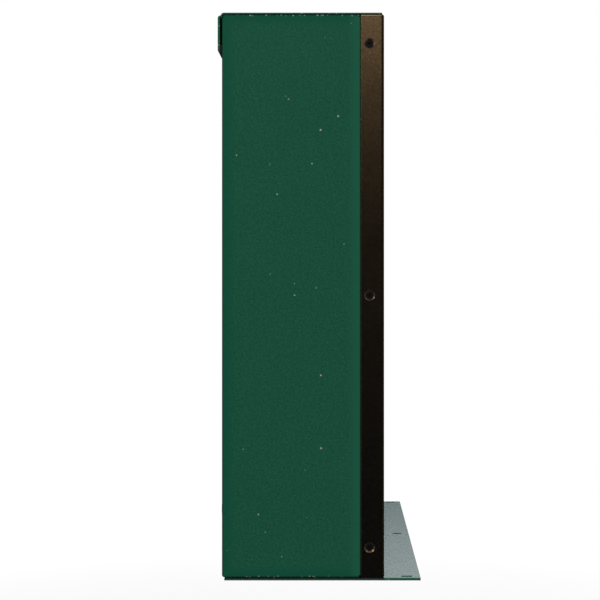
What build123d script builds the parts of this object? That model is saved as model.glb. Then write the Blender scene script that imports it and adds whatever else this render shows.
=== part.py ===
"""Wall mounted mailbox: a folded green shell with a bronze front frame, slot flap and locked door.

Millimetres. The origin is the middle of the four wall holes, on the wall. +Z is up, -Y is the front.
"""
from build123d import *
import math
import os

# Overall sizes
height = 400.0
width = 260.0
depth = 114.5
sheet = 1.5
bend_inside = 0.5
edge_round = 0.4
cut_past = 10.0

# Wall fixing
standoff = 3.0
wall_hole_d = 6.5
wall_hole_pitch = 190.0
upper_hole_drop = 16.0
lower_hole_rise = 45.0
bumper_wall = 6.75
rail_inset = 2.0
rail_top_drop = 1.45
rail_height = 24.75
rail_slant = 5.3
strip_rise = 4.0

# Shell
back_bend_inside = 1.1
flange_width = 12.0
lap_gap = 0.05
joggle_gap = 0.05
joggle_run = 0.4
joggle_bend_inside = 0.3
joggle_corner = 0.8
tab_gap = 0.2
tab_clear = 2.0
relief_d = 0.8

# Cover
cover_sheet = 1.05
cover_front_round = 0.7
cover_front_drop = 1.3
cover_overhang = 0.8
cover_bend_inside = 1.5
cover_lip_flat = 0.6
cover_seam = 0.4

# Base plate
base_sheet = 1.9
base_inset = 1.9
sill_reach = 25.7
drain_length = 7.4
drain_width = 3.0
drain_corner = 0.5
drain_reach = 16.1
drain_edge = 4.2

# Front frame
frame_depth = 16.4
frame_edge_radius = 1.1
frame_border = 20.0
jamb_depth = 12.0
opening_radius = 2.0
screw_end = 21.7
screw_end_low = 23.3
screw_reach = 10.25
sink_d = 7.4

# Frame screws and nuts
screw_d = 3.0
screw_sunk = 0.9
screw_tip = 0.85
screw_key = 2.0
tab_hole_gap = 0.2
nut_wall = 2.0
nut_length = 3.0
thread_gap = 0.04

# Panel rivets
rivet_d = 3.2
rivet_rim = 1.4
rivet_crown = 0.2
rivet_head_h = 1.3
rivet_gap = 0.04
rivet_edge = 7.0
rivet_end = 18.0
rivet_side = 65.0

# Mail slot and flap
slot_drop = 24.0
slot_height = 32.0
slot_margin = 23.0
flap_sheet = 1.2
flap_overlap = 5.0
flap_gap = 0.3
flap_pin_d = 3.0
flap_pin_rise = 5.5
flap_pin_end = 0.6
flap_pin_fit = 0.02
flap_side_gap = 1.0
running_gap = 0.05
bracket_sheet = 1.5
bracket_drop = 4.5
bracket_rise = 13.0
bracket_clear = 2.0
bracket_ear = 8.0
clip_wall = 1.1
clip_length = 1.4

# Door
door_head = 24.5
door_foot = 32.6
door_gap = 1.2
hinge_wall = 1.8
door_edge_radius = 1.2
door_pin_d = 4.0
door_pin_rim = 1.5
door_pin_head_h = 1.2
door_pin_fit = 0.02
bush_wall = 1.2
bush_rim = 1.5
bush_flange_h = 1.0
bush_length = 2.5

# Cam lock
lock_edge = 22.8
lock_rim = 2.5
lock_head_h = 2.0
lock_rim_slope = 1.5
lock_body_d = 19.0
lock_flat_cut = 1.5
lock_fit = 0.1
lock_wall = 2.5
plug_recess = 0.5
key_width = 1.4
key_depth = 8.0
cam_sheet = 2.0
cam_wall = 2.5
cam_length = 30.0
cam_square_share = 4 / 7
cam_fit = 0.05
cam_stud_share = 2.5 / 7
cam_nut_wall = 1.5
cam_nut_h = 3.0
lock_nut_wall = 2.5
lock_nut_h = 4.0

# Strike
strike_height = 60.0
strike_lip = 5.0
strike_gap = 0.3
cam_gap = 0.5

# Places worked out from the sizes
half = width / 2
z_top = (height - upper_hole_drop - lower_hole_rise) / 2 + upper_hole_drop
z_low = z_top - height
z_hole_up = z_top - upper_hole_drop
z_hole_low = z_low + lower_hole_rise
hole_x = wall_hole_pitch / 2
bumper_r = wall_hole_d / 2 + bumper_wall
y_back = -standoff
y_front = y_back - depth
y_frame_rear = y_front + frame_depth
y_face_in = y_front + sheet
bend_outside = bend_inside + sheet
body_z0 = z_low + base_sheet
body_z1 = z_top - cover_sheet
wall_holes_up = [(-hole_x, z_hole_up), (hole_x, z_hole_up)]
wall_holes_low = [(-hole_x, z_hole_low), (hole_x, z_hole_low)]

tab_out = half - sheet - lap_gap
tab_in = tab_out - sheet
y_tab = y_face_in + tab_clear
tab_short = sheet + tab_gap
joggle_lean = math.atan2(half - tab_out, joggle_run) / 2
y_joggle0 = y_frame_rear + joggle_gap + joggle_bend_inside * math.tan(joggle_lean)
y_joggle1 = y_joggle0 + joggle_run
y_flat = y_joggle1 + joggle_corner * math.tan(joggle_lean)

y_cover_back = y_back + cover_overhang
cover_lip = cover_sheet + cover_bend_inside + cover_lip_flat
screw_pitch = (height - screw_end - screw_end_low) / 2
screw_zs = [z_top - screw_end - i * screw_pitch for i in range(3)]
screw_y = y_front + screw_reach
screw_length = 2 * sheet + lap_gap + nut_length + screw_tip - screw_sunk
tab_hole_r = sink_d / 2 - sheet + tab_hole_gap
nut_r = screw_d / 2 + nut_wall

open_half = half - frame_border
slot_half = half - slot_margin
slot_z1 = z_top - slot_drop
slot_z0 = slot_z1 - slot_height
open_z1 = slot_z0 - door_head
open_z0 = body_z0 + door_foot
y_jamb_rear = y_front + jamb_depth

door_x0 = -open_half + door_gap
door_x1 = open_half - door_gap
door_z0 = open_z0 + door_gap
door_z1 = open_z1 - door_gap
y_door_rear = y_front + jamb_depth
bush_r = door_pin_d / 2 + bush_wall
hinge_radius = bush_r + hinge_wall
hinge_x = door_x0 + hinge_radius
hinge_y = y_front + hinge_radius

lock_r = lock_body_d / 2
lock_head_r = lock_r + lock_rim
lock_flat = lock_r - lock_flat_cut
plug_r = lock_r - lock_wall
key_half = plug_r / 2
cam_square_half = plug_r * cam_square_share
cam_stud_r = plug_r * cam_stud_share
cam_half = cam_square_half + cam_wall
lock_x = door_x1 - lock_edge
lock_z = (door_z0 + door_z1) / 2
y_strike = y_jamb_rear + strike_gap
y_cam = y_strike + sheet + cam_gap
y_lock_rear = y_cam - lock_fit

rivet_r = rivet_d / 2
rivet_ys = [y_flat + rivet_end, y_back - rivet_end]
rivet_x = half - rivet_edge
y_rivet_back = y_back - rivet_edge
y_rivet_frame = y_front + frame_depth / 2 + sheet / 2
base_rivets = [(s * rivet_x, y) for s in (-1, 1) for y in rivet_ys]
base_rivets += [(s * rivet_side, y) for s in (-1, 1) for y in (y_rivet_back, y_rivet_frame)]
cover_rivets = [(s * rivet_x, y) for s in (-1, 1) for y in rivet_ys]
cover_rivets += [(s * rivet_side, y_rivet_frame) for s in (-1, 1)]

flap_half = slot_half + flap_overlap
flap_pin_r = flap_pin_d / 2
flap_curl = flap_pin_r + running_gap + flap_sheet
flap_y0 = y_face_in + flap_gap
flap_pin_y = flap_y0 + flap_curl
flap_pin_z = slot_z1 + flap_pin_rise
flap_z0 = slot_z0 - flap_overlap
ear_in = flap_half + flap_side_gap
ear_out = ear_in + bracket_sheet
bracket_out = tab_in - bracket_clear


def unit(p, q):
    """Unit vector from p to q."""
    span = math.hypot(q[0] - p[0], q[1] - p[1])
    return (q[0] - p[0]) / span, (q[1] - p[1]) / span


def bent(line, thick, inside, outside=None):
    """Outline of a bent strip with one face on line; thick is positive to the left of its run."""
    outside = outside or [r + abs(thick) for r in inside]
    near = []
    far = []
    last = len(line) - 1
    for i, (x, y) in enumerate(line):
        before = unit(line[max(i, 1) - 1], line[max(i, 1)])
        after = unit(line[min(i, last - 1)], line[min(i, last - 1) + 1])
        mitre = thick / (1 + before[0] * after[0] + before[1] * after[1])
        turn = before[0] * after[1] - before[1] * after[0]
        near_r = far_r = 0.0
        if 0 < i < last:
            radii = (inside[i - 1], outside[i - 1])
            near_r, far_r = radii[::-1] if turn * thick > 0 else radii
        near.append((x, y, near_r))
        far.append((x - (before[1] + after[1]) * mitre, y + (before[0] + after[0]) * mitre, far_r))
    return near + far[::-1]


def outline(points):
    """Closed wire through (x, y, corner radius) points."""
    stops = []
    count = len(points)
    for i, (x, y, r) in enumerate(points):
        before = unit(points[i - 1], (x, y))
        after = unit((x, y), points[(i + 1) % count])
        lean = math.acos(max(-1.0, min(1.0, before[0] * after[0] + before[1] * after[1]))) / 2
        if r == 0:
            stops.append(((x, y), None, (x, y)))
            continue
        reach = r * math.tan(lean)
        rise = r / math.cos(lean) - r
        inward = unit(before, after)
        start = (x - before[0] * reach, y - before[1] * reach)
        middle = (x + inward[0] * rise, y + inward[1] * rise)
        stops.append((start, middle, (x + after[0] * reach, y + after[1] * reach)))
    edges = []
    for i, (start, middle, end) in enumerate(stops):
        if middle:
            edges.append(Edge.make_three_point_arc(start, middle, end))
        following = stops[(i + 1) % count][0]
        if math.hypot(following[0] - end[0], following[1] - end[1]) > 1e-6:
            edges.append(Edge.make_line(end, following))
    return Wire(edges)


def prism(points, plane, start, stop):
    """Solid of an outline on plane, between two distances along the plane's normal."""
    base = plane.offset(start)
    face = base.location * Face(outline(points))
    return Part() + Solid.extrude(face, base.z_dir * (stop - start))


def plan(points, z0, z1):
    return prism(points, Plane.XY, z0, z1)


def side(points, x0, x1):
    return prism(points, Plane.YZ, x0, x1)


def front(points, y0, y1):
    return prism(points, Plane.XZ, -y1, -y0)


def rectangle(x0, x1, z0, z1, radius):
    return [(x0, z0, radius), (x1, z0, radius), (x1, z1, radius), (x0, z1, radius)]


def block(x0, x1, y0, y1, z0, z1):
    return Pos((x0 + x1) / 2, (y0 + y1) / 2, (z0 + z1) / 2) * Box(x1 - x0, y1 - y0, z1 - z0)


def rod(start, way, radius, length):
    """Cylinder from start along way."""
    return Plane(origin=start, z_dir=way).location * Cylinder(
        radius, length, align=(Align.CENTER, Align.CENTER, Align.MIN)
    )


def cone(start, way, radius0, radius1, length):
    return Plane(origin=start, z_dir=way).location * Cone(
        radius0, radius1, length, align=(Align.CENTER, Align.CENTER, Align.MIN)
    )


def hexagon(x, z, flats):
    """Corner points of a hexagon on the front plane."""
    reach = flats / math.sqrt(3)
    turns = [math.radians(60 * i) for i in range(6)]
    return [(x + reach * math.cos(a), z + reach * math.sin(a), 0.0) for a in turns]


def ends(part, reach):
    """Edges of part that lie on its two ends, at a distance of reach from the middle plane."""
    return [e for e in part.edges() if all(abs(abs((e @ t).X) - reach) < 1e-4 for t in (0.0, 0.5, 1.0))]


def rim(part, z, limit):
    """Edges of part at height z whose points all satisfy limit."""
    chosen = []
    for edge in part.edges():
        spots = [edge @ t for t in (0.0, 0.5, 1.0)]
        if all(abs(p.Z - z) < 1e-4 and limit(p) for p in spots):
            chosen.append(edge)
    return chosen


# Shell: both sides and the back in one sheet, with a joggled tab behind the frame on each side
wall_line = [
    (-tab_out, y_tab), (-tab_out, y_joggle0), (-half, y_joggle1), (-half, y_back),
    (half, y_back), (half, y_joggle1), (tab_out, y_joggle0), (tab_out, y_tab),
]
back_bend = back_bend_inside + sheet
wall_inside = [joggle_bend_inside] * 2 + [back_bend_inside] * 2 + [joggle_bend_inside] * 2
wall_outside = [joggle_corner] * 2 + [back_bend] * 2 + [joggle_corner] * 2
body_shell = plan(bent(wall_line, -sheet, wall_inside, wall_outside), body_z0, body_z1)
flange_line = [(-half, y_flat, 0), (-half, y_back, back_bend), (half, y_back, back_bend), (half, y_flat, 0)]
flange_in = half - sheet - flange_width
y_flange = y_back - sheet - flange_width
for z0 in (body_z0, body_z1 - sheet):
    flange = plan(flange_line, z0, z0 + sheet)
    flange -= block(-flange_in, flange_in, y_flat - 1, y_flange, z0 - 1, z0 + sheet + 1)
    body_shell += flange
for z0, z1 in ((body_z0 - 1, body_z0 + tab_short), (body_z1 - tab_short, body_z1 + 1)):
    body_shell -= block(-half - 1, half + 1, y_tab - 1, y_flat, z0, z1)


def on_wall(p):
    return max(abs(p.X) - half, p.Y - y_back) > -sheet * 0.6


body_shell = fillet(rim(body_shell, body_z0, on_wall) + rim(body_shell, body_z1, on_wall), sheet)
# The back stops under the cover's rear lip, and the top flanges stay on the sides only
z_back_top = z_top - cover_lip - cover_seam
lip_clear = y_cover_back - cover_sheet - lap_gap
body_shell -= block(-half - 1, half + 1, lip_clear, y_back + 1, z_back_top, z_top)
roll_y = lip_clear - cover_bend_inside
roll_z = body_z1 - cover_bend_inside
roll = block(-half - 1, half + 1, roll_y, y_back + 1, roll_z, z_top)
body_shell -= roll - rod((-half - 1, roll_y, roll_z), (1, 0, 0), cover_bend_inside, width + 2)
body_shell -= block(-flange_in, flange_in, y_flange - 1, y_back + 1, z_back_top, z_top)
for s in (-1, 1):
    for z in (body_z0 + tab_short, body_z1 - tab_short):
        body_shell -= rod((s * (half + 1), y_flat, z), (-s, 0, 0), relief_d / 2, 2 * sheet + 1)
    for z in screw_zs:
        body_shell -= rod((s * (half + 1), screw_y, z), (-s, 0, 0), tab_hole_r, cut_past)
for x, z in wall_holes_up + wall_holes_low:
    body_shell -= rod((x, y_back + 1, z), (0, -1, 0), wall_hole_d / 2, sheet + 2)

# Cover: the top sheet, rolled down over the back
cover_line = [(y_front + cover_front_drop, z_top), (y_cover_back, z_top), (y_cover_back, z_top - cover_lip)]
top_cover = side(bent(cover_line, -cover_sheet, [cover_bend_inside]), -half, half)
front_edge = top_cover.edges().filter_by(Axis.X).sort_by(Axis.Y).group_by(Axis.Y)[0].sort_by(Axis.Z)[-1]
top_cover = fillet(front_edge, cover_front_round)
top_cover = fillet(ends(top_cover, half), edge_round)

# Base plate with the front sill and its drain slots
base_plate = block(-half, half, y_front - sill_reach, y_back - base_inset, z_low, body_z0)
base_levels = base_plate.edges().group_by(Axis.Z)
base_plate = fillet(base_levels[0] + base_levels[-1], edge_round)
drain_y = y_front - drain_reach
drain_x = half - drain_edge
for x in (-drain_x, 0.0, drain_x):
    w, reach = drain_width / 2, drain_length / 2
    drain = rectangle(x - w, x + w, drain_y - reach, drain_y + reach, drain_corner)
    base_plate -= plan(drain, z_low - 1, body_z0 + 1)

# Front frame: a bronze pan with the mail slot, the door opening and its jamb
frame_line = [(half, y_frame_rear), (half, y_front), (-half, y_front), (-half, y_frame_rear)]
front_frame = plan(bent(frame_line, -sheet, [bend_inside] * 2), body_z0, body_z1)
frame_end = [
    (half, y_frame_rear, 0), (half, y_front, bend_outside),
    (-half, y_front, bend_outside), (-half, y_frame_rear, 0),
]
for z0 in (body_z0, body_z1 - sheet):
    front_frame += plan(frame_end, z0, z0 + sheet)


def on_frame(p):
    return max(abs(p.X) - half, y_front - p.Y) > -sheet * 0.6


frame_rims = rim(front_frame, body_z0, on_frame) + rim(front_frame, body_z1, on_frame)
front_frame = fillet(frame_rims, frame_edge_radius)
rear_edges = front_frame.edges().filter_by(Axis.Z).group_by(Axis.Y)[-1].group_by(Axis.X)
front_frame = fillet(rear_edges[0] + rear_edges[-1], edge_round)
opening = rectangle(-open_half, open_half, open_z0, open_z1, opening_radius)
jamb_half = open_half + sheet
jamb = rectangle(-jamb_half, jamb_half, open_z0 - sheet, open_z1 + sheet, opening_radius + sheet)
front_frame += front(jamb, y_face_in, y_jamb_rear)
front_frame -= front(opening, y_front - 1, y_jamb_rear + 1)
slot = rectangle(-slot_half, slot_half, slot_z0, slot_z1, opening_radius)
front_frame -= front(slot, y_front - 1, y_face_in + 1)
for s in (-1, 1):
    for z in screw_zs:
        front_frame -= cone((s * half, screw_y, z), (-s, 0, 0), sink_d / 2, sink_d / 2 - sheet, sheet)
pin_hole_r = door_pin_d / 2 + door_pin_fit
front_frame -= rod((hinge_x, hinge_y, open_z1 - 1), (0, 0, 1), pin_hole_r, sheet + 2)
front_frame -= rod((hinge_x, hinge_y, open_z0 + 1), (0, 0, -1), pin_hole_r, sheet + 2)

# Frame screws, sunk in their countersinks, and the press nuts behind the tabs
frame_screws = Part()
clip_nuts = Part()
head_r = sink_d / 2 - screw_sunk
head_h = head_r - screw_d / 2
for s in (-1, 1):
    for z in screw_zs:
        start = half - screw_sunk
        screw = cone((s * start, screw_y, z), (-s, 0, 0), head_r, screw_d / 2, head_h)
        screw += rod((s * start, screw_y, z), (-s, 0, 0), screw_d / 2, screw_length)
        screw -= rod((s * start, screw_y, z), (-s, 0, 0), screw_key / 2, head_h * 0.8)
        frame_screws += screw
        nut = rod((s * tab_in, screw_y, z), (-s, 0, 0), nut_r, nut_length)
        nut -= rod((s * tab_in, screw_y, z), (-s, 0, 0), screw_d / 2 + thread_gap, nut_length)
        clip_nuts += nut

# Panel rivets: heads inside, shanks flush with the outer sheet
panel_rivets = Part()
rivet_rows = ((base_rivets, z_low, base_sheet, 1), (cover_rivets, z_top, cover_sheet, -1))
for places, z_outer, outer, up in rivet_rows:
    grip = outer + sheet
    for x, y in places:
        z_head = z_outer + up * grip
        head = cone((x, y, z_head), (0, 0, up), rivet_r + rivet_rim, rivet_r + rivet_crown, rivet_head_h)
        panel_rivets += head + rod((x, y, z_outer), (0, 0, up), rivet_r, grip)
        hole = rod((x, y, z_outer - up), (0, 0, up), rivet_r + rivet_gap, grip + 1)
        if up > 0:
            base_plate -= hole
        else:
            top_cover -= hole
        if y == y_rivet_frame:
            front_frame -= hole
        else:
            body_shell -= hole

# Mounting rail, a stand-off formed from sheet, the rubber strip under its lower edge, and the wall bumpers
rail_z1 = z_top - rail_top_drop
rail_z0 = rail_z1 - rail_height - rail_slant
rail_line = [(y_cover_back, rail_z1), (0.0, rail_z1), (0.0, rail_z1 - rail_height)]
rail_half = half - rail_inset
mounting_rail = side(bent(rail_line, -sheet, [bend_inside]), -rail_half, rail_half)
for x, z in wall_holes_up:
    mounting_rail -= rod((x, 1, z), (0, -1, 0), wall_hole_d / 2, sheet + 2)
rail_foot = rail_z1 - rail_height
strip_edge = [
    (0.0, rail_foot, 0.0), (-sheet, rail_foot, 0.0), (-sheet, rail_foot + strip_rise, 0.0),
    (y_back, rail_foot + strip_rise, 0.0), (y_back, rail_z0, 0.0),
]
rail_strip = side(strip_edge, -rail_half, rail_half)
wall_bumpers = Part()
for x, z in wall_holes_low:
    bumper = rod((x, y_back, z), (0, 1, 0), bumper_r, standoff)
    wall_bumpers += bumper - rod((x, y_back, z), (0, 1, 0), wall_hole_d / 2, standoff)

# Door: a pan whose hinge edge is rolled about the hinge axis, so that it swings flush
door_line = [(door_x0, y_door_rear), (door_x0, y_front), (door_x1, y_front), (door_x1, y_door_rear)]
door_panel = plan(bent(door_line, sheet, [hinge_radius - sheet, bend_inside]), door_z0, door_z1)
door_end = [
    (door_x0, y_door_rear, 0), (door_x0, y_front, hinge_radius),
    (door_x1, y_front, bend_outside), (door_x1, y_door_rear, 0),
]
for z0 in (door_z0, door_z1 - sheet):
    door_panel += plan(door_end, z0, z0 + sheet)


def on_door(p):
    out = max(door_x0 - p.X, p.X - door_x1, y_front - p.Y)
    rolled = math.hypot(p.X - hinge_x, p.Y - hinge_y)
    return out > -sheet * 0.6 or (p.X < hinge_x and p.Y < hinge_y and rolled > hinge_radius - sheet * 0.6)


door_rims = rim(door_panel, door_z0, on_door) + rim(door_panel, door_z1, on_door)
door_panel = fillet(door_rims, door_edge_radius)
for z, up in ((door_z0, 1), (door_z1, -1)):
    door_panel -= rod((hinge_x, hinge_y, z - up), (0, 0, up), bush_r + door_pin_fit, sheet + 2)
barrel = rod((lock_x, y_front - 1, lock_z), (0, 1, 0), lock_r + lock_fit, sheet + 2)
barrel &= block(
    lock_x - lock_flat - lock_fit, lock_x + lock_flat + lock_fit,
    y_front - 2, y_face_in + 2, lock_z - lock_body_d, lock_z + lock_body_d,
)
door_panel -= barrel

# Hinge pins in the jamb and the plastic bushes in the door
door_hinge_pins = Part()
door_bushings = Part()
for z_jamb, z_door, up in ((open_z0, door_z0, 1), (open_z1, door_z1, -1)):
    foot = (hinge_x, hinge_y, z_jamb - up * sheet)
    pin = rod(foot, (0, 0, up), door_pin_d / 2, sheet + door_gap + bush_length)
    door_hinge_pins += pin + rod(foot, (0, 0, -up), door_pin_d / 2 + door_pin_rim, door_pin_head_h)
    bush = rod((hinge_x, hinge_y, z_door), (0, 0, up), bush_r, bush_length)
    bush += rod((hinge_x, hinge_y, z_door), (0, 0, -up), bush_r + bush_rim, bush_flange_h)
    bore_z = z_door - up * 2 * bush_flange_h
    bore = rod((hinge_x, hinge_y, bore_z), (0, 0, up), door_pin_d / 2 + running_gap, depth)
    door_bushings += bush - bore

# Cam lock: housing and nut on the door; plug, cam and cam nut turn together
lock_housing = rod((lock_x, y_front, lock_z), (0, 1, 0), lock_r, y_lock_rear - y_front)
lock_housing &= block(
    lock_x - lock_flat, lock_x + lock_flat, y_front, y_lock_rear, lock_z - lock_body_d, lock_z + lock_body_d
)
lock_housing += rod((lock_x, y_front, lock_z), (0, -1, 0), lock_head_r, lock_head_h / 2)
y_slope = y_front - lock_head_h / 2
lock_face_r = lock_head_r - lock_rim_slope
lock_housing += cone((lock_x, y_slope, lock_z), (0, -1, 0), lock_head_r, lock_face_r, lock_head_h / 2)
lock_housing -= rod((lock_x, y_front - lock_head_h, lock_z), (0, 1, 0), plug_r + running_gap, depth)
nut_edge = hexagon(lock_x, lock_z, 2 * (lock_r + lock_nut_wall))
lock_nut = front(nut_edge, y_face_in, y_face_in + lock_nut_h)
lock_nut -= rod((lock_x, y_front, lock_z), (0, 1, 0), lock_r + thread_gap, depth)

y_plug = y_front - lock_head_h + plug_recess
y_cam_rear = y_cam + cam_sheet
lock_plug = rod((lock_x, y_plug, lock_z), (0, 1, 0), plug_r, y_cam - y_plug)
q = cam_square_half
square = rectangle(lock_x - q, lock_x + q, lock_z - q, lock_z + q, q / 5)
lock_plug += front(square, y_cam, y_cam_rear - cam_fit)
lock_plug += rod((lock_x, y_cam, lock_z), (0, 1, 0), cam_stud_r, cam_sheet + cam_nut_h + 1)
lock_plug -= block(
    lock_x - key_width / 2, lock_x + key_width / 2, y_plug - 1, y_plug + key_depth,
    lock_z - key_half, lock_z + key_half,
)
cam_z = lock_z - cam_length
cam_edge = rectangle(lock_x - cam_half, lock_x + cam_half, cam_z, lock_z + cam_half, cam_half / 2)
lock_cam = front(cam_edge, y_cam, y_cam_rear)
q = cam_square_half + cam_fit
lock_cam -= front(rectangle(lock_x - q, lock_x + q, lock_z - q, lock_z + q, q / 5), y_cam, y_cam_rear)
nut_edge = hexagon(lock_x, lock_z, 2 * (cam_stud_r + cam_nut_wall))
cam_nut = front(nut_edge, y_cam_rear, y_cam_rear + cam_nut_h)
cam_nut -= rod((lock_x, y_cam, lock_z), (0, 1, 0), cam_stud_r + thread_gap, depth)

# Strike: an angle on the jamb that stops the door and holds the cam
strike_x = open_half + 2 * sheet
y_strike_rear = y_strike + sheet
strike_x0 = open_half - strike_lip
strike_line = [(strike_x, y_face_in + 1), (strike_x, y_strike_rear), (strike_x0, y_strike_rear)]
strike_edge = bent(strike_line, sheet, [strike_gap * 0.9])
strike_plate = plan(strike_edge, lock_z - strike_height / 2, lock_z + strike_height / 2)

# Slot flap, curled around its pin and hung behind the slot
slot_flap = rod((-flap_half, flap_pin_y, flap_pin_z), (1, 0, 0), flap_curl, 2 * flap_half)
slot_flap += block(-flap_half, flap_half, flap_y0, flap_y0 + flap_sheet, flap_z0, flap_pin_z)
slot_flap -= rod((-flap_half - 1, flap_pin_y, flap_pin_z), (1, 0, 0), flap_pin_r + running_gap, width)
pin_half = ear_out + clip_length + flap_pin_end
flap_hinge_pin = rod((-pin_half, flap_pin_y, flap_pin_z), (1, 0, 0), flap_pin_r, 2 * pin_half)
flap_brackets = Part()
flap_pin_clips = Part()
for s in (-1, 1):
    y_ear = y_face_in + bracket_ear
    ear_line = [(s * ear_in, y_ear), (s * ear_in, y_face_in), (s * bracket_out, y_face_in)]
    ear_edge = bent(ear_line, s * bracket_sheet, [bend_inside])
    bracket = plan(ear_edge, flap_pin_z - bracket_drop, flap_pin_z + bracket_rise)
    bracket -= block(
        min(s * ear_out, s * half), max(s * ear_out, s * half),
        y_front, y_ear + 1, flap_pin_z - bracket_drop - 1, flap_pin_z + bracket_drop,
    )
    bore = rod((s * (ear_in - 1), flap_pin_y, flap_pin_z), (s, 0, 0), flap_pin_r + flap_pin_fit, depth)
    flap_brackets += bracket - bore
    clip = rod((s * ear_out, flap_pin_y, flap_pin_z), (s, 0, 0), flap_pin_r + clip_wall, clip_length)
    flap_pin_clips += clip - bore

nodes = {
    "body_shell": body_shell,
    "top_cover": top_cover,
    "base_plate": base_plate,
    "front_frame": front_frame,
    "mounting_rail": mounting_rail,
    "rail_strip": rail_strip,
    "wall_bumpers": wall_bumpers,
    "panel_rivets": panel_rivets,
    "frame_screws": frame_screws,
    "clip_nuts": clip_nuts,
    "strike_plate": strike_plate,
    "door_panel": door_panel,
    "door_hinge_pins": door_hinge_pins,
    "door_bushings": door_bushings,
    "lock_housing": lock_housing,
    "lock_nut": lock_nut,
    "lock_plug": lock_plug,
    "lock_cam": lock_cam,
    "cam_nut": cam_nut,
    "slot_flap": slot_flap,
    "flap_hinge_pin": flap_hinge_pin,
    "flap_brackets": flap_brackets,
    "flap_pin_clips": flap_pin_clips,
}
os.makedirs("parts", exist_ok=True)
for name, node in nodes.items():
    export_step(node, f"parts/{name}.step")
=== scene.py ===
"""Looks of the wall mounted mailbox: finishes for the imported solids, and the studio round them."""
import math

import bmesh
import bpy
from bpy.props import FloatProperty, FloatVectorProperty, PointerProperty
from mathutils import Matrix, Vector


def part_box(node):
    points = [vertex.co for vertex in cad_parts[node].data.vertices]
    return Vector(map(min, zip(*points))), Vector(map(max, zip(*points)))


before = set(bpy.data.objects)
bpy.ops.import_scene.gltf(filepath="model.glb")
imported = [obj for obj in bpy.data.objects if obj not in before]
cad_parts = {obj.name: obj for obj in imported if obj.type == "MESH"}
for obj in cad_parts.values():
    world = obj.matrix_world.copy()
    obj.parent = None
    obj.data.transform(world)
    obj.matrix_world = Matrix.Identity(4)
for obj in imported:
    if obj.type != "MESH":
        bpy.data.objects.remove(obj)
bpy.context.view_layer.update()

bl_info = {
    "name": "Wall mailbox finishes",
    "version": (1, 0, 0),
    "blender": (4, 5, 0),
    "location": "View3D > Sidebar > Mailbox",
    "description": "Paint, metal and studio for a folded sheet mailbox",
    "category": "Object",
}

# Green coat: painted shade and a painted highlight along the folds, cut edges paler as painted light, flecks,
# thin spots and painted shade in the sill's joint
FOLD_SHADE_GREEN = (0.0030, 0.0665, 0.0360)
LEAD_HIGHLIGHT_GREEN = (0.0085, 0.0830, 0.0455)
CREASE_SHADE_GREEN = (0.0010, 0.0380, 0.0210)
CUT_PAINTED_LIGHT_GREEN = (0.0090, 0.0880, 0.0500)
FLECK_CREAM = (0.25, 0.28, 0.22)
WORN_EDGE = (0.205, 0.225, 0.14)
JOINT_SHADE_GREEN = (0.0006, 0.0030, 0.0020)
COAT_GLOSS = 0.1
COAT_INDEX = 1.35
GRAIN_DEPTH = 1.05
CLOUD_SIZE = 0.06
CLOUD_DEPTH = 0.12
PEEL_SIZE = 0.0024
PEEL_DEPTH = 0.3
PEEL_HEIGHT = 0.00003
FLECK_RADIUS = 0.052
THIN_GAP = 0.0019
THIN_RADIUS = 0.36
FOLD_WIDTH = 0.012
CREASE_WIDTH = 0.0022
CREASE_MASK = 0.2
PANEL_FACING = 0.25
CUT_FACING = 0.8
JOINT_SHADE_REACH = 0.0026
JOINT_SHADE_DEPTH = 0.0008

# Bronze finish, with a painted highlight on the countersinks and painted shade along the front bends and on
# the slot flap
SINK_HIGHLIGHT_BRONZE = (0.21, 0.145, 0.095)
BEND_SHADE_BRONZE = (0.040, 0.026, 0.014)
BRONZE_TINT = (0.4, 0.37, 0.34, 1.0)
FLAP_SHADE_SHARE = 0.5
BEND_RADIUS = 0.0019
TOOTH_SIZE = 0.0012
TOOTH_DEPTH = 1.5
TOOTH_HEIGHT = 0.000006
BRONZE_CLOUD_SIZE = 0.05
BRONZE_CLOUD_DEPTH = 0.15
SINK_HIGHLIGHT_MATTE = 0.1

# Small hardware
STAIN_SPREAD = 12
STAIN_SHARE = 0.7
HARDWARE_TOOTH = 0.00001

# Studio: the floor, and what metal and gloss reflect
WHITE = (1.0, 1.0, 1.0, 1.0)
FLOOR_GREY = (0.8, 0.8, 0.8)
FLOOR_ROUGHNESS = 0.7
FLOOR_RADIUS = 1.6
FLOOR_FADE_START = 0.45
FLOOR_FADE_END = 1.5
FLOOR_SEGMENTS = 96
RING_SEGMENTS = 72
RING_LIFT = 0.004
CURTAIN_RADIUS = 1.75
CURTAIN_LOW = 0.2
CURTAIN_HIGH = 0.92
CURTAIN_DIP = 0.5
DIP_INNER = math.radians(20)
DIP_OUTER = math.radians(40)
WINDOW_INNER = math.radians(20)
WINDOW_OUTER = math.radians(36)
SIDES_START = 0.34 * CURTAIN_RADIUS
SIDES_FULL = 0.64 * CURTAIN_RADIUS
CEILING_HEIGHT = 1.9
LEAST_AREA = 1e-6
PALE_WINDOW = (0.81, 0.93, 1.035)
DIM_WINDOW = (0.272, 0.272, 0.260)
DARK_CURTAIN = (0.0110, 0.0185, 0.0340)
CURTAIN_SIDES = (0.24, 0.24, 0.24)
CEILING_GREY = (0.3, 0.3, 0.3)
LAMP_TARGET = (0.0, -0.07, 0.0)
SENSOR_WIDTH = 36.0

# Sockets of a colour Mix node
MIX_UNDER = 6
MIX_OVER = 7
MIX_RESULT = 2


def colour_value(name, about, value):
    return FloatVectorProperty(
        name=name, description=about, default=value, size=3, subtype="COLOR", min=0.0, max=1.0
    )


def length_value(name, about, value):
    return FloatProperty(name=name, description=about, default=value, unit="LENGTH", subtype="DISTANCE")


def share_value(name, about, value):
    return FloatProperty(name=name, description=about, default=value, subtype="FACTOR", min=0.0, max=1.0)


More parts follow.
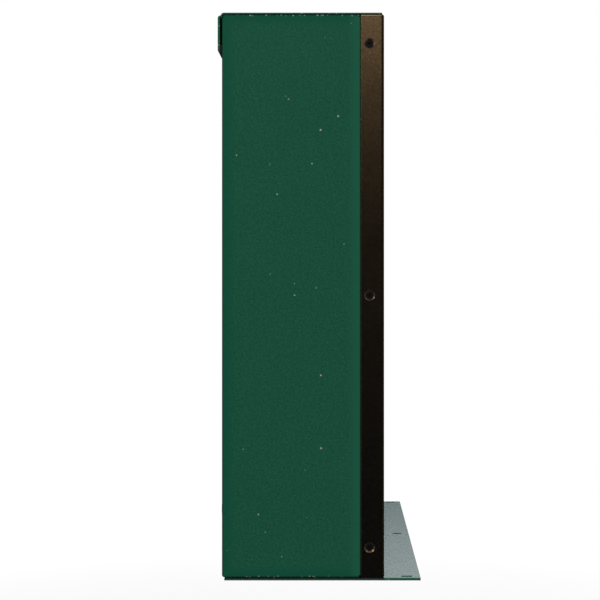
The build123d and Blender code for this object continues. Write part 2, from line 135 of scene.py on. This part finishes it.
class PaintSettings(bpy.types.PropertyGroup):
    """Powder coat on the folded sheets."""
    green: colour_value("Green", "Colour of the powder coat", (0.0076, 0.0712, 0.0386))
    roughness: share_value("Roughness", "Roughness of the powder coat", 0.48)
    grain: length_value("Grain", "Size of the coat's fine grain", 0.0014)
    fleck_gap: length_value("Fleck spacing", "Distance between places where a pale fleck may lie", 0.012)
    fleck_share: share_value("Fleck share", "Share of those places that hold a fleck", 0.35)


class BronzeSettings(bpy.types.PropertyGroup):
    """Dark bronze finish of the front."""
    bronze: colour_value("Bronze", "Colour of the front's metal finish", (0.225, 0.143, 0.073))
    roughness: share_value("Roughness", "Roughness of the front's metal finish", 0.245)


class StageSettings(bpy.types.PropertyGroup):
    """Camera, floor and even light."""
    lens: FloatProperty(
        name="Lens", description="Focal length of the camera", default=58.19, subtype="DISTANCE_CAMERA"
    )
    shift: FloatProperty(name="Shift", description="Sideways shift of the camera's frame", default=-0.075)
    eye: FloatVectorProperty(
        name="Camera", description="Place of the camera", default=(-0.8128, -0.08992, -0.01693),
        size=3, unit="LENGTH", subtype="TRANSLATION",
    )
    floor: length_value("Floor", "Height of the floor", -0.62)
    fill: share_value("Fill", "Strength of the even light from all round", 0.9)


def add_node(tree, kind, sockets=None, **settings):
    """New node in tree with its settings; sockets gives plain values by the input's name or number."""
    node = tree.nodes.new(kind)
    for label, value in settings.items():
        setattr(node, label, value)
    for label, value in (sockets or {}).items():
        node.inputs[label].default_value = value
    return node


def feed(tree, target, value):
    """Wire a socket to the target, or set a plain value on it."""
    if isinstance(value, bpy.types.NodeSocket):
        tree.links.new(value, target)
    else:
        target.default_value = value


def calc(tree, operation, *values):
    """Result of a Math node on sockets and plain numbers."""
    node = add_node(tree, "ShaderNodeMath", operation=operation)
    for target, value in zip(node.inputs, values):
        feed(tree, target, value)
    return node.outputs[0]


def stretched(tree, vector, scale):
    """Vector or colour multiplied by a number."""
    node = add_node(tree, "ShaderNodeVectorMath", operation="SCALE")
    feed(tree, node.inputs[0], vector)
    feed(tree, node.inputs["Scale"], scale)
    return node.outputs[0]


def ranged(tree, value, start, stop, first=0.0, last=1.0, ease="LINEAR"):
    """Value carried from the range start to stop into the range first to last."""
    node = add_node(tree, "ShaderNodeMapRange", interpolation_type=ease)
    for target, amount in zip(node.inputs, (value, start, stop, first, last)):
        feed(tree, target, amount)
    return node.outputs[0]


def axes(tree, vector):
    """The x, y and z of a vector."""
    parts = add_node(tree, "ShaderNodeSeparateXYZ")
    feed(tree, parts.inputs[0], vector)
    return parts.outputs


def all_hold(tree, *tests):
    """Mask that is 1 where each test of an operation, a value and a limit holds."""
    mask = None
    for operation, value, limit in tests:
        holds = calc(tree, operation, value, limit)
        mask = calc(tree, "MULTIPLY", mask, holds) if mask else holds
    return mask


def new_group(name, inputs, outputs):
    """Empty shader node group that takes coordinates and the named numbers; returns it with its two ends."""
    group = bpy.data.node_groups.new(name, "ShaderNodeTree")
    group.interface.new_socket("Vector", in_out="INPUT", socket_type="NodeSocketVector")
    for label in inputs:
        group.interface.new_socket(label, in_out="INPUT", socket_type="NodeSocketFloat")
    for label in outputs:
        group.interface.new_socket(label, in_out="OUTPUT", socket_type="NodeSocketFloat")
    return group, group.nodes.new("NodeGroupInput").outputs, group.nodes.new("NodeGroupOutput").inputs


def grain_group(name):
    """Soft noise of a given size: a shade round 1 for colours, and a height for a bump."""
    group, start, end = new_group(name, ("Size", "Depth"), ("Shade", "Height"))
    place = stretched(group, start["Vector"], calc(group, "DIVIDE", 1.0, start["Size"]))
    noise = add_node(group, "ShaderNodeTexNoise", {"Scale": 1.0, "Detail": 2.0, "Roughness": 0.6})
    feed(group, noise.inputs["Vector"], place)
    swing = calc(group, "SUBTRACT", noise.outputs[0], 0.5)
    feed(group, end["Shade"], calc(group, "MULTIPLY_ADD", swing, start["Depth"], 1.0))
    feed(group, end["Height"], noise.outputs[0])
    return group


def fleck_group(name):
    """Scattered small spots of uneven outline: each cell of the given gap holds one with the given chance."""
    wobble_scale, wobble_reach = 14.0, 0.06
    smallest, spread = 0.5, 0.8
    core, rim = 0.6, 1.1
    group, start, end = new_group(name, ("Gap", "Share", "Radius"), ("Mask",))
    place = stretched(group, start["Vector"], calc(group, "DIVIDE", 1.0, start["Gap"]))
    wobble = add_node(group, "ShaderNodeTexNoise", {"Scale": wobble_scale, "Detail": 1.0})
    feed(group, wobble.inputs["Vector"], place)
    drift = add_node(group, "ShaderNodeVectorMath", {1: (wobble_reach,) * 3}, operation="MULTIPLY_ADD")
    feed(group, drift.inputs[0], wobble.outputs["Color"])
    feed(group, drift.inputs[2], place)
    cells = add_node(group, "ShaderNodeTexVoronoi", {"Scale": 1.0}, feature="F1")
    feed(group, cells.inputs["Vector"], drift.outputs[0])
    draws = add_node(group, "ShaderNodeSeparateColor")
    feed(group, draws.inputs[0], cells.outputs["Color"])
    chosen = calc(group, "LESS_THAN", draws.outputs[0], start["Share"])
    size = calc(group, "MULTIPLY_ADD", draws.outputs[1], spread, smallest)
    radius = calc(group, "MULTIPLY", size, start["Radius"])
    reach = calc(group, "DIVIDE", cells.outputs["Distance"], radius)
    inside = ranged(group, reach, core, rim, 1.0, 0.0)
    feed(group, end["Mask"], calc(group, "MULTIPLY", inside, chosen))
    return group


def fold_group(name):
    """Nearness to a panel's outline: to back, top and bottom, to top and bottom only, and to the front."""
    sides = ("Back", "Front", "Top", "Bottom")
    group, start, end = new_group(name, (*sides, "Width", "Gate"), ("Rim", "Ends", "Lead"))
    _, depth, height = axes(group, start["Vector"])
    near = {}
    for side, place in zip(sides, (depth, depth, height, height)):
        gap = calc(group, "ABSOLUTE", calc(group, "SUBTRACT", place, start[side]))
        near[side] = ranged(group, gap, 0.0, start["Width"], 1.0, 0.0, "SMOOTHERSTEP")
    ends = calc(group, "MAXIMUM", near["Top"], near["Bottom"])
    rim = calc(group, "MAXIMUM", ends, near["Back"])
    for label, mask in (("Rim", rim), ("Ends", ends), ("Lead", near["Front"])):
        feed(group, end[label], calc(group, "MULTIPLY", mask, start["Gate"]))
    return group


def ring_group(name):
    """Ring round each screw of an upright row, between two radii, on the outer faces only."""
    group, start, end = new_group(name, ("Row", "First", "Pitch", "Inner", "Outer", "Side"), ("Mask",))
    sideways, depth, height = axes(group, start["Vector"])
    across = calc(group, "SUBTRACT", depth, start["Row"])
    along = calc(group, "SUBTRACT", height, start["First"])
    half = calc(group, "MULTIPLY", start["Pitch"], 0.5)
    nearest = calc(group, "WRAP", along, half, calc(group, "MULTIPLY", half, -1.0))
    flat = add_node(group, "ShaderNodeCombineXYZ")
    feed(group, flat.inputs[0], across)
    feed(group, flat.inputs[1], nearest)
    length = add_node(group, "ShaderNodeVectorMath", operation="LENGTH")
    feed(group, length.inputs[0], flat.outputs[0])
    radius = length.outputs["Value"]
    mask = all_hold(
        group, ("GREATER_THAN", radius, start["Inner"]), ("LESS_THAN", radius, start["Outer"]),
        ("GREATER_THAN", calc(group, "ABSOLUTE", sideways), start["Side"]),
    )
    feed(group, end["Mask"], mask)
    return group


def corner_group(name):
    """Places beyond a given reach on each axis: out to both sides, behind a line and above a level."""
    group, start, end = new_group(name, ("Side", "Behind", "Above"), ("Mask",))
    sideways, depth, height = axes(group, start["Vector"])
    mask = all_hold(
        group, ("GREATER_THAN", calc(group, "ABSOLUTE", sideways), start["Side"]),
        ("GREATER_THAN", depth, start["Behind"]), ("GREATER_THAN", height, start["Above"]),
    )
    feed(group, end["Mask"], mask)
    return group


GROUP_MAKERS = {
    "fine_grain": grain_group, "stray_flecks": fleck_group, "fold_tone": fold_group,
    "sink_rings": ring_group, "outer_corner": corner_group,
}


def place_group(tree, name, vector, **values):
    """Outputs of a shared group, built at its first use, with its coordinates and its values."""
    node = tree.nodes.new("ShaderNodeGroup")
    node.node_tree = bpy.data.node_groups.get(name) or GROUP_MAKERS[name](name)
    for label, value in dict(Vector=vector, **values).items():
        feed(tree, node.inputs[label], value)
    return node.outputs


def new_material(name, colour, roughness, metallic=0.0):
    """Material with a principled shader; returns it with its tree, shader and texture coordinates."""
    material = bpy.data.materials.new(name)
    material.use_nodes = True
    tree = material.node_tree
    shader = tree.nodes["Principled BSDF"]
    shader.inputs["Base Color"].default_value = (*colour, 1.0)
    shader.inputs["Roughness"].default_value = roughness
    shader.inputs["Metallic"].default_value = metallic
    return material, tree, shader, tree.nodes.new("ShaderNodeTexCoord").outputs


def tinted(tree, colour, *shades):
    """Colour multiplied by each of the shades."""
    for shade in shades:
        colour = stretched(tree, colour, shade)
    return colour


def speckled(tree, colour, mask, speck):
    """Colour with another laid over it where the mask is 1."""
    mix = add_node(tree, "ShaderNodeMix", {MIX_OVER: (*speck, 1.0)}, data_type="RGBA")
    feed(tree, mix.inputs["Factor"], mask)
    feed(tree, mix.inputs[MIX_UNDER], colour)
    return mix.outputs[MIX_RESULT]


def bumped(tree, shader, height, distance):
    """Small relief of the given depth from a height."""
    bump = add_node(tree, "ShaderNodeBump", {"Strength": 1.0, "Distance": distance})
    feed(tree, bump.inputs["Height"], height)
    feed(tree, shader.inputs["Normal"], bump.outputs[0])


def varied(tree, shader, shade, roughness):
    """Roughness that follows a shade round 1."""
    feed(tree, shader.inputs["Roughness"], calc(tree, "MULTIPLY", shade, roughness))


def side_facing(tree, coords):
    """How far a face looks to either side, from 0 to 1."""
    return calc(tree, "ABSOLUTE", axes(tree, coords["Normal"])[0])


def folded_tones(tree, coords, colour):
    """Painted shade along the shell's back, top and bottom folds and a painted highlight along its front
    fold; returns the colour with the mask of its top and bottom creases.
    """
    low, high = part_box("body_shell")
    sides = dict(Back=high.y, Front=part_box("front_frame")[1].y, Top=high.z, Bottom=low.z)
    place = coords["Object"]
    gate = calc(tree, "GREATER_THAN", side_facing(tree, coords), PANEL_FACING)
    fold = place_group(tree, "fold_tone", place, Width=FOLD_WIDTH, Gate=gate, **sides)
    crease = place_group(tree, "fold_tone", place, Width=CREASE_WIDTH, Gate=gate, **sides)
    # Painted shade in a wide band at the back, top and bottom folds, a painted highlight at the front fold,
    # and deeper painted shade in the narrow creases
    colour = speckled(tree, colour, fold["Rim"], FOLD_SHADE_GREEN)
    colour = speckled(tree, colour, fold["Lead"], LEAD_HIGHLIGHT_GREEN)
    colour = speckled(tree, colour, crease["Rim"], CREASE_SHADE_GREEN)
    return colour, calc(tree, "GREATER_THAN", crease["Ends"], CREASE_MASK)


def cut_tones(tree, coords, colour):
    """Paler green on a sheet's cut ends, painted light for the brighter light they catch; returns the colour
    with their mask.
    """
    cut = calc(tree, "GREATER_THAN", side_facing(tree, coords), CUT_FACING)
    # Painted light: the cut ends get a paler green
    return speckled(tree, colour, cut, CUT_PAINTED_LIGHT_GREEN), cut


def painted_joint_shade(tree, coords, colour):
    """Painted shade where the base plate's edge meets the shell and the frame."""
    joint_shadow_mask = place_group(
        tree, "outer_corner", coords["Object"], Side=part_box("body_shell")[1].x - JOINT_SHADE_REACH,
        Behind=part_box("front_frame")[0].y, Above=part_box("base_plate")[1].z - JOINT_SHADE_DEPTH,
    )
    return speckled(tree, colour, joint_shadow_mask["Mask"], JOINT_SHADE_GREEN)


def paint_material(
    name, settings, edge_share, edge_tones=cut_tones, gloss=COAT_GLOSS, roughness=None,
    index=COAT_INDEX, peel_height=PEEL_HEIGHT, shaded_joint=False,
):
    """Green powder coat: fine grain, slow clouds, stray pale flecks, and thin spots along the edges."""
    roughness = roughness or settings.roughness
    material, tree, shader, coords = new_material(name, settings.green, roughness)
    shader.inputs["IOR"].default_value = index
    shader.inputs["Specular IOR Level"].default_value = gloss
    place = coords["Object"]
    grain = place_group(tree, "fine_grain", place, Size=settings.grain, Depth=GRAIN_DEPTH)
    cloud = place_group(tree, "fine_grain", place, Size=CLOUD_SIZE, Depth=CLOUD_DEPTH)
    peel = place_group(tree, "fine_grain", place, Size=PEEL_SIZE, Depth=PEEL_DEPTH)
    flecks = place_group(
        tree, "stray_flecks", place,
        Gap=settings.fleck_gap, Share=settings.fleck_share, Radius=FLECK_RADIUS,
    )
    thin = place_group(tree, "stray_flecks", place, Gap=THIN_GAP, Share=edge_share, Radius=THIN_RADIUS)
    colour = tinted(tree, settings.green, grain["Shade"], cloud["Shade"])
    colour, edge = edge_tones(tree, coords, colour)
    colour = speckled(tree, colour, flecks["Mask"], FLECK_CREAM)
    colour = speckled(tree, colour, calc(tree, "MULTIPLY", edge, thin["Mask"]), WORN_EDGE)
    # Painted shade on the ledge in the sill's joint
    if shaded_joint:
        colour = painted_joint_shade(tree, coords, colour)
    feed(tree, shader.inputs["Base Color"], colour)
    varied(tree, shader, peel["Shade"], roughness)
    bumped(tree, shader, peel["Height"], peel_height)
    return material


def bronze_material(name, settings, share=1.0):
    """Dark bronze metal with a fine tooth, a painted highlight on the countersinks and painted shade along
    the front bends; share dims the plain metal, a painted shade for the set-back flap.
    """
    bronze = [share * value for value in settings.bronze]
    material, tree, shader, coords = new_material(name, bronze, settings.roughness, 1.0)
    shader.inputs["Specular Tint"].default_value = BRONZE_TINT
    place = coords["Object"]
    tooth = place_group(tree, "fine_grain", place, Size=TOOTH_SIZE, Depth=TOOTH_DEPTH)
    cloud = place_group(tree, "fine_grain", place, Size=BRONZE_CLOUD_SIZE, Depth=BRONZE_CLOUD_DEPTH)
    low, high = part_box("frame_screws")
    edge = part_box("front_frame")[1].x
    head, sunk = (high.y - low.y) / 2, edge - high.x
    rings = place_group(
        tree, "sink_rings", place, Row=(low.y + high.y) / 2, First=low.z + head,
        Pitch=(high.z - low.z - 2 * head) / 2, Inner=head, Outer=head + sunk, Side=edge - 2 * sunk,
    )
    turned = add_node(tree, "ShaderNodeVectorMath", {1: (1.0, -1.0, 1.0)}, operation="MULTIPLY")
    feed(tree, turned.inputs[0], place)
    # Painted shade along the frame's vertical front bends
    bend_shadow_mask = place_group(
        tree, "outer_corner", turned.outputs[0], Side=edge - BEND_RADIUS,
        Behind=-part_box("front_frame")[0].y - BEND_RADIUS, Above=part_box("front_frame")[0].z,
    )
    colour = tinted(tree, bronze, tooth["Shade"], cloud["Shade"])
    # Painted highlight: a paler bronze on the countersink rings
    colour = speckled(tree, colour, rings["Mask"], SINK_HIGHLIGHT_BRONZE)
    # Painted shade along the front bends
    colour = speckled(tree, colour, bend_shadow_mask["Mask"], BEND_SHADE_BRONZE)
    feed(tree, shader.inputs["Base Color"], colour)
    # Less metal on the countersink rings, part of their painted highlight
    feed(tree, shader.inputs["Metallic"], calc(tree, "MULTIPLY_ADD", rings["Mask"], -SINK_HIGHLIGHT_MATTE, 1.0))
    varied(tree, shader, cloud["Shade"], settings.roughness)
    bumped(tree, shader, tooth["Height"], TOOTH_HEIGHT)
    return material


def hardware_material(name, colour, roughness, size, depth, metallic=1.0, gloss=0.5):
    """Small hardware in metal, nylon or rubber, with slow stains and a fine tooth of the given size."""
    material, tree, shader, coords = new_material(name, colour, roughness, metallic)
    shader.inputs["Specular IOR Level"].default_value = gloss
    place = coords["Object"]
    tooth = place_group(tree, "fine_grain", place, Size=size, Depth=depth)
    stain = place_group(tree, "fine_grain", place, Size=size * STAIN_SPREAD, Depth=depth * STAIN_SHARE)
    feed(tree, shader.inputs["Base Color"], tinted(tree, colour, tooth["Shade"], stain["Shade"]))
    varied(tree, shader, stain["Shade"], roughness)
    bumped(tree, shader, tooth["Height"], HARDWARE_TOOTH)
    return material


def dress(material, *names):
    """Put a material on CAD nodes by name."""
    for name in names:
        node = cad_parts.get(name)
        if node is None:
            raise RuntimeError(f"The frame has no node named {name}")
        for slot in node.material_slots:
            slot.material = material


class MAILBOX_OT_green_sheet(bpy.types.Operator):
    """Give the shell, cover, base plate, mounting rail and rivets their green powder coat."""
    bl_idname = "mailbox.green_sheet"
    bl_label = "Green sheets"

    def execute(self, context):
        paint = context.scene.mailbox_paint
        dress(paint_material("green_shell", paint, edge_share=0.72, edge_tones=folded_tones), "body_shell")
        dress(paint_material("green_cut_edges", paint, edge_share=0.5), "top_cover", "mounting_rail")
        dress(paint_material("green_rivets", paint, edge_share=0.05), "panel_rivets")
        # The sill carries painted shade in its joint
        sill = paint_material(
            "green_sill", paint, edge_share=0.12, gloss=0.55, roughness=0.26, index=1.5,
            peel_height=0.00012, shaded_joint=True,
        )
        dress(sill, "base_plate")
        return {"FINISHED"}


class MAILBOX_OT_bronze_front(bpy.types.Operator):
    """Give the front frame, door and slot flap their bronze finish."""
    bl_idname = "mailbox.bronze_front"
    bl_label = "Bronze front"

    def execute(self, context):
        bronze = context.scene.mailbox_bronze
        dress(bronze_material("bronze_front", bronze), "front_frame", "door_panel")
        # The slot flap gets a darker copy of the bronze, a painted shade for its set-back place
        dress(bronze_material("bronze_flap_shaded", bronze, FLAP_SHADE_SHARE), "slot_flap")
        return {"FINISHED"}


class MAILBOX_OT_fasteners(bpy.types.Operator):
    """Give the frame screws and press nuts their metals."""
    bl_idname = "mailbox.fasteners"
    bl_label = "Fasteners"

    def execute(self, context):
        screws = hardware_material(
            "black_screw_steel", (0.0045, 0.004, 0.003), roughness=0.6, size=0.0006, depth=0.4,
            metallic=0.0, gloss=0.15,
        )
        nuts = hardware_material("zinc_nuts", (0.52, 0.53, 0.54), roughness=0.38, size=0.0008, depth=0.3)
        dress(screws, "frame_screws")
        dress(nuts, "clip_nuts")
        return {"FINISHED"}


class MAILBOX_OT_hinge_hardware(bpy.types.Operator):
    """Give the hinge pins, bushes, flap hardware and strike their finishes."""
    bl_idname = "mailbox.hinge_hardware"
    bl_label = "Hinges and strike"

    def execute(self, context):
        steel = hardware_material("pin_steel", (0.55, 0.55, 0.56), roughness=0.28, size=0.0008, depth=0.25)
        nylon = hardware_material(
            "white_nylon", (0.78, 0.77, 0.72), roughness=0.5, size=0.0007, depth=0.08, metallic=0.0
        )
        zinc = hardware_material("zinc_sheet", (0.50, 0.51, 0.52), roughness=0.4, size=0.0009, depth=0.3)
        spring = hardware_material(
            "black_spring_steel", (0.03, 0.03, 0.03), roughness=0.45, size=0.0006, depth=0.4
        )
        dress(steel, "door_hinge_pins", "flap_hinge_pin")
        dress(nylon, "door_bushings")
        dress(zinc, "flap_brackets", "strike_plate")
        dress(spring, "flap_pin_clips")
        return {"FINISHED"}


class MAILBOX_OT_cam_lock(bpy.types.Operator):
    """Give the cam lock its bright plated barrel and zinc cam."""
    bl_idname = "mailbox.cam_lock"
    bl_label = "Cam lock"

    def execute(self, context):
        chrome = hardware_material("lock_chrome", (0.66, 0.66, 0.67), roughness=0.2, size=0.0007, depth=0.12)
        zinc = hardware_material("lock_zinc", (0.50, 0.51, 0.52), roughness=0.38, size=0.0009, depth=0.3)
        dress(chrome, "lock_housing", "lock_plug")
        dress(zinc, "lock_nut", "lock_cam", "cam_nut")
        return {"FINISHED"}


class MAILBOX_OT_wall_bumpers(bpy.types.Operator):
    """Give the wall bumpers and the strip under the rail their black rubber."""
    bl_idname = "mailbox.wall_bumpers"
    bl_label = "Wall bumpers and strip"

    def execute(self, context):
        rubber = hardware_material(
            "black_rubber", (0.009, 0.009, 0.008), roughness=0.8, size=0.0008, depth=0.5,
            metallic=0.0, gloss=0.1,
        )
        dress(rubber, "wall_bumpers", "rail_strip")
        return {"FINISHED"}


def new_object(name, data):
    thing = bpy.data.objects.new(name, data)
    bpy.context.scene.collection.objects.link(thing)
    return thing


def new_mesh(name, shape):
    """Mesh from a bmesh, which is freed."""
    mesh = bpy.data.meshes.new(name)
    shape.to_mesh(mesh)
    shape.free()
    return mesh


def seen_white(tree):
    """Value that is 1 for camera, mirror and glass rays."""
    rays = tree.nodes.new("ShaderNodeLightPath").outputs
    mirrored = calc(tree, "MAXIMUM", rays["Is Camera Ray"], rays["Is Glossy Ray"])
    return calc(tree, "MAXIMUM", mirrored, rays["Is Transmission Ray"])


def blended(tree, share, first, second):
    """Mix of two shaders by a share."""
    blend = tree.nodes.new("ShaderNodeMixShader")
    for target, source in zip(blend.inputs, (share, first, second)):
        feed(tree, target, source)
    return blend.outputs[0]


def soft_lamp(name, place, width, height, power):
    """Large flat lamp turned towards the mailbox."""
    lamp = bpy.data.lights.new(name, "AREA")
    lamp.shape = "RECTANGLE"
    lamp.size = width
    lamp.size_y = height
    lamp.energy = power
    thing = new_object(name, lamp)
    thing.location = place
    way = Vector(LAMP_TARGET) - Vector(place)
    thing.rotation_euler = way.to_track_quat("-Z", "Y").to_euler()


def floor_disc(height):
    """Pale round floor that fades to white towards its rim for camera, mirror and glass rays."""
    shape = bmesh.new()
    bmesh.ops.create_circle(shape, cap_ends=True, segments=FLOOR_SEGMENTS, radius=FLOOR_RADIUS)
    floor = new_object("floor", new_mesh("floor", shape))
    floor.location.z = height
    material, tree, shader, coords = new_material("pale_floor", FLOOR_GREY, FLOOR_ROUGHNESS)
    grain = place_group(tree, "fine_grain", coords["Object"], Size=0.02, Depth=0.03)
    feed(tree, shader.inputs["Base Color"], tinted(tree, FLOOR_GREY, grain["Shade"]))
    reach = add_node(tree, "ShaderNodeVectorMath", operation="LENGTH")
    feed(tree, reach.inputs[0], coords["Object"])
    fade = ranged(tree, reach.outputs["Value"], FLOOR_FADE_START, FLOOR_FADE_END)
    white = add_node(tree, "ShaderNodeEmission", {"Color": WHITE, "Strength": 1.0})
    share = calc(tree, "MULTIPLY", fade, seen_white(tree))
    surface = blended(tree, share, shader.outputs[0], white.outputs[0])
    feed(tree, tree.nodes["Material Output"].inputs["Surface"], surface)
    floor.data.materials.append(material)


def mirror_only(name, shape, colour, sides=None):
    """Glowing stage piece that only mirror rays meet; sides is its colour towards the front and back."""
    thing = new_object(name, new_mesh(name, shape))
    material, tree, shader, coords = new_material(name, (0.0, 0.0, 0.0), 1.0)
    shader.inputs["Specular IOR Level"].default_value = 0.0
    shader.inputs["Emission Color"].default_value = (*colour, 1.0)
    shader.inputs["Emission Strength"].default_value = 1.0
    if sides:
        away = calc(tree, "ABSOLUTE", axes(tree, coords["Object"])[1])
        share = ranged(tree, away, SIDES_START, SIDES_FULL, ease="SMOOTHSTEP")
        feed(tree, shader.inputs["Emission Color"], speckled(tree, (*colour, 1.0), share, sides))
    thing.data.materials.append(material)
    thing.visible_camera = False
    thing.visible_diffuse = False
    thing.visible_shadow = False
    thing.visible_transmission = False


def stage_disc(height):
    """Level disc as wide as the curtain, as a bmesh."""
    shape = bmesh.new()
    bmesh.ops.create_circle(shape, cap_ends=True, segments=RING_SEGMENTS, radius=CURTAIN_RADIUS)
    bmesh.ops.translate(shape, vec=(0.0, 0.0, height), verts=shape.verts)
    return shape


def raised(shape, edges, top):
    """Draw an upright wall from the edges of a bmesh up to the height that top gives at each place."""
    made = bmesh.ops.extrude_edge_only(shape, edges=edges)["geom"]
    for item in made:
        if isinstance(item, bmesh.types.BMVert):
            item.co.z = top(item.co)


def eased(angle, inner, outer):
    """Share from 0 inside the first angle to 1 beyond the second."""
    return min(1.0, max(0.0, (angle - inner) / (outer - inner)))


def curtain_top(place):
    """Height of the curtain: low in the far window, and dipped behind the camera."""
    turn = math.atan2(abs(place.y), place.x)
    far = CURTAIN_LOW + (CURTAIN_HIGH - CURTAIN_LOW) * eased(turn, WINDOW_INNER, WINDOW_OUTER)
    near = CURTAIN_DIP + (CURTAIN_HIGH - CURTAIN_DIP) * eased(math.pi - turn, DIP_INNER, DIP_OUTER)
    return min(far, near)


def curtain_gap(ring, side):
    """Band from the curtain's top to its full height, as a bmesh, on the far side (1) or the near (-1)."""
    band = ring.copy()
    raised(band, [edge for edge in band.edges if edge.is_boundary], lambda place: CURTAIN_HIGH)
    spare = [
        face for face in band.faces
        if len(face.verts) > 4 or face.calc_center_median().x * side < 0 or face.calc_area() < LEAST_AREA
        or min(corner.co.z for corner in face.verts) < 0
    ]
    bmesh.ops.delete(band, geom=spare, context="FACES")
    return band


def surroundings(floor_height):
    """What metal and gloss reflect: a dark ring with a pale band before and behind, and a grey ceiling."""
    ring = stage_disc(floor_height + RING_LIFT)
    raised(ring, ring.edges[:], curtain_top)
    mirror_only("pale_window", curtain_gap(ring, 1), PALE_WINDOW)
    mirror_only("dim_window", curtain_gap(ring, -1), DIM_WINDOW)
    mirror_only("dark_curtain", ring, DARK_CURTAIN, CURTAIN_SIDES)
    mirror_only("grey_ceiling", stage_disc(CEILING_HEIGHT), CEILING_GREY)


def white_world(fill):
    """Even light from all round, seen as plain white."""
    world = bpy.data.worlds.new("white_studio")
    world.use_nodes = True
    tree = world.node_tree
    tree.nodes.clear()
    even = add_node(tree, "ShaderNodeBackground", {"Color": WHITE, "Strength": fill})
    white = add_node(tree, "ShaderNodeBackground", {"Color": WHITE, "Strength": 1.0})
    out = tree.nodes.new("ShaderNodeOutputWorld")
    surface = blended(tree, seen_white(tree), even.outputs[0], white.outputs[0])
    feed(tree, out.inputs["Surface"], surface)
    return world


def side_camera(settings):
    """Camera that looks square at the mailbox's left side."""
    lens = bpy.data.cameras.new("camera")
    lens.lens = settings.lens
    lens.sensor_width = SENSOR_WIDTH
    lens.sensor_fit = "HORIZONTAL"
    lens.shift_x = settings.shift
    camera = new_object("camera", lens)
    camera.location = settings.eye
    camera.rotation_euler = (math.radians(90), 0.0, math.radians(-90))
    return camera


class MAILBOX_OT_stage(bpy.types.Operator):
    """Build the floor, the lamps, the surroundings and the camera."""
    bl_idname = "mailbox.stage"
    bl_label = "Studio"

    def execute(self, context):
        scene = context.scene
        settings = scene.mailbox_stage
        scene.view_settings.view_transform = "Standard"
        scene.world = white_world(settings.fill)
        floor_disc(settings.floor)
        surroundings(settings.floor)
        soft_lamp("side_softbox", (-1.32, -0.10, 1.07), width=1.2, height=0.7, power=3.4)
        soft_lamp("front_softbox", (0.35, -1.55, 0.95), width=1.2, height=0.8, power=8.0)
        soft_lamp("far_softbox", (1.45, -0.2, 0.5), width=1.2, height=0.6, power=2.5)
        soft_lamp("back_softbox", (-0.2, 1.5, 0.8), width=1.2, height=0.8, power=6.0)
        scene.camera = side_camera(settings)
        return {"FINISHED"}


OPERATORS = (
    MAILBOX_OT_green_sheet, MAILBOX_OT_bronze_front, MAILBOX_OT_fasteners, MAILBOX_OT_hinge_hardware,
    MAILBOX_OT_cam_lock, MAILBOX_OT_wall_bumpers, MAILBOX_OT_stage,
)


class MAILBOX_PT_sidebar(bpy.types.Panel):
    """List of the mailbox's steps and their settings."""
    bl_idname = "MAILBOX_PT_sidebar"
    bl_label = "Mailbox"
    bl_space_type = "VIEW_3D"
    bl_region_type = "UI"
    bl_category = "Mailbox"

    def draw(self, context):
        scene = context.scene
        for settings in (scene.mailbox_paint, scene.mailbox_bronze, scene.mailbox_stage):
            box = self.layout.box()
            for name in settings.__annotations__:
                box.prop(settings, name)
        for operator in OPERATORS:
            self.layout.operator(operator.bl_idname)


CLASSES = (PaintSettings, BronzeSettings, StageSettings, *OPERATORS, MAILBOX_PT_sidebar)


def register():
    for item in CLASSES:
        bpy.utils.register_class(item)
    bpy.types.Scene.mailbox_paint = PointerProperty(type=PaintSettings)
    bpy.types.Scene.mailbox_bronze = PointerProperty(type=BronzeSettings)
    bpy.types.Scene.mailbox_stage = PointerProperty(type=StageSettings)


def unregister():
    del bpy.types.Scene.mailbox_stage
    del bpy.types.Scene.mailbox_bronze
    del bpy.types.Scene.mailbox_paint
    for item in reversed(CLASSES):
        bpy.utils.unregister_class(item)


def main():
    register()
    bpy.ops.mailbox.green_sheet()
    bpy.ops.mailbox.bronze_front()
    bpy.ops.mailbox.fasteners()
    bpy.ops.mailbox.hinge_hardware()
    bpy.ops.mailbox.cam_lock()
    bpy.ops.mailbox.wall_bumpers()
    bpy.ops.mailbox.stage()


if __name__ == "__main__":
    main()
